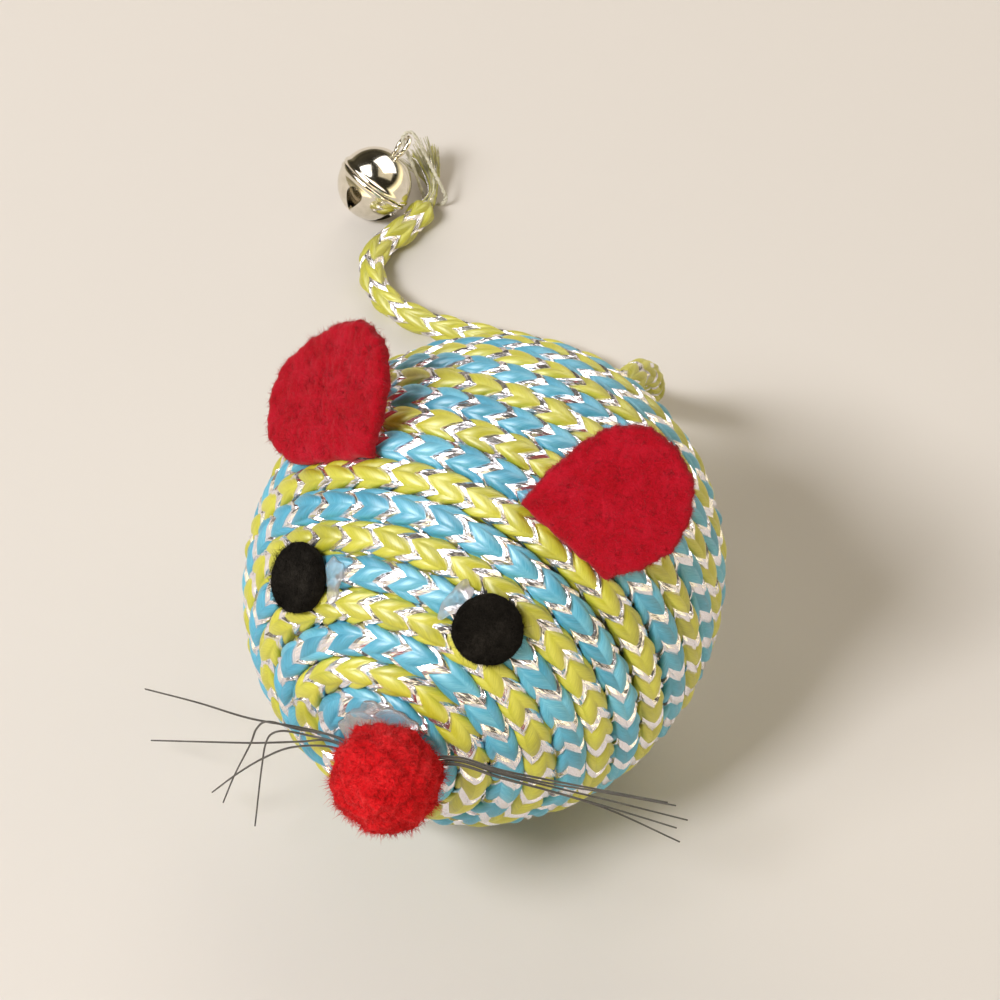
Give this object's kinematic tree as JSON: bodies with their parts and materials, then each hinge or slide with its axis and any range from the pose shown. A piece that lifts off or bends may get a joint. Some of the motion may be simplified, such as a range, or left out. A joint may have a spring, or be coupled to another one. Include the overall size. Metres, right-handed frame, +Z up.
{
  "type": "mouse cat toy",
  "caption": "Mouse-shaped cat toy: an egg-shaped ball wound with braided cord in contrasting colours, with felt ears and eyes, a pompom nose, nylon whiskers and a cord tail with a jingle bell.",
  "frame": {"origin": "on the flattened coils under the middle of the body, where the toy rests on the floor", "axes": "+Z up, the nose points to -Y and the tail leaves towards +Y; +X is the animal's own left"},
  "size_m": [0.0979, 0.1298, 0.0648],
  "materials": {
    "core_plastic": "plain moulded",
    "turquoise_cord": "satin yarn braided with silver lurex",
    "lime_cord": "satin yarn braided with silver lurex",
    "red_felt": "felt",
    "black_felt": "felt",
    "red_pompom": "cut pile",
    "glue": "hot-melt glue, slightly clear",
    "whisker_nylon": "nylon monofilament",
    "frayed_yarn": "loose yarn ends",
    "bell_plating": "warm nickel plating",
    "thread": "twisted sewing thread",
    "pellet_steel": "plain ball"
  },
  "bodies": {
    "toy": {"core_front_shell": "core_plastic", "core_rear_shell": "core_plastic", "winding_cord_turquoise": "turquoise_cord", "winding_cord_lime": "lime_cord", "ear_glue_left": "glue", "ear_glue_right": "glue", "eye_left": "black_felt", "eye_glue_left": "glue", "eye_right": "black_felt", "eye_glue_right": "glue", "nose_pompom": "red_pompom", "nose_glue": "glue", "whisker_1": "whisker_nylon", "whisker_2": "whisker_nylon", "whisker_3": "whisker_nylon", "whisker_4": "whisker_nylon", "whisker_5": "whisker_nylon", "tail_cord": "lime_cord", "tail_tuft": "frayed_yarn"},
    "left_ear": {"ear_left": "red_felt"},
    "right_ear": {"ear_right": "red_felt"},
    "tie": {"bell_tie": "thread"},
    "bell": {"bell_shank": "bell_plating", "bell_top_shell": "bell_plating", "bell_bottom_shell": "bell_plating"},
    "pellet": {"bell_pellet": "pellet_steel"}
  },
  "joints": [
    {"name": "ear_left_fold", "type": "hinge", "parent": "toy", "child": "left_ear", "pos_m": [0.01574, -0.00951, 0.05203], "axis": [0.836, 0.0045, -0.5488], "range_deg": [-8, 45], "stiffness_Nm_per_rad": 0.0005},
    {"name": "ear_right_fold", "type": "hinge", "parent": "toy", "child": "right_ear", "pos_m": [-0.01554, -0.01045, 0.05192], "axis": [0.8389, -0.0092, 0.5442], "range_deg": [-4, 45], "stiffness_Nm_per_rad": 0.0005},
    {"name": "bell_tie_turn", "type": "hinge", "parent": "toy", "child": "tie", "pos_m": [-0.0494, 0.07865, 0.00195], "axis": [0, 1, 0], "range_deg": [0, 120]},
    {"name": "bell_swing", "type": "hinge", "parent": "tie", "child": "bell", "pos_m": [-0.05404, 0.07844, 0.00931], "axis": [0, 0, 1], "range_deg": [-60, 0]},
    {"name": "bell_pellet_rattle", "type": "slide", "parent": "bell", "child": "pellet", "axis": [0, 0, 1], "range_m": [0, 0.0062]}
  ]
}
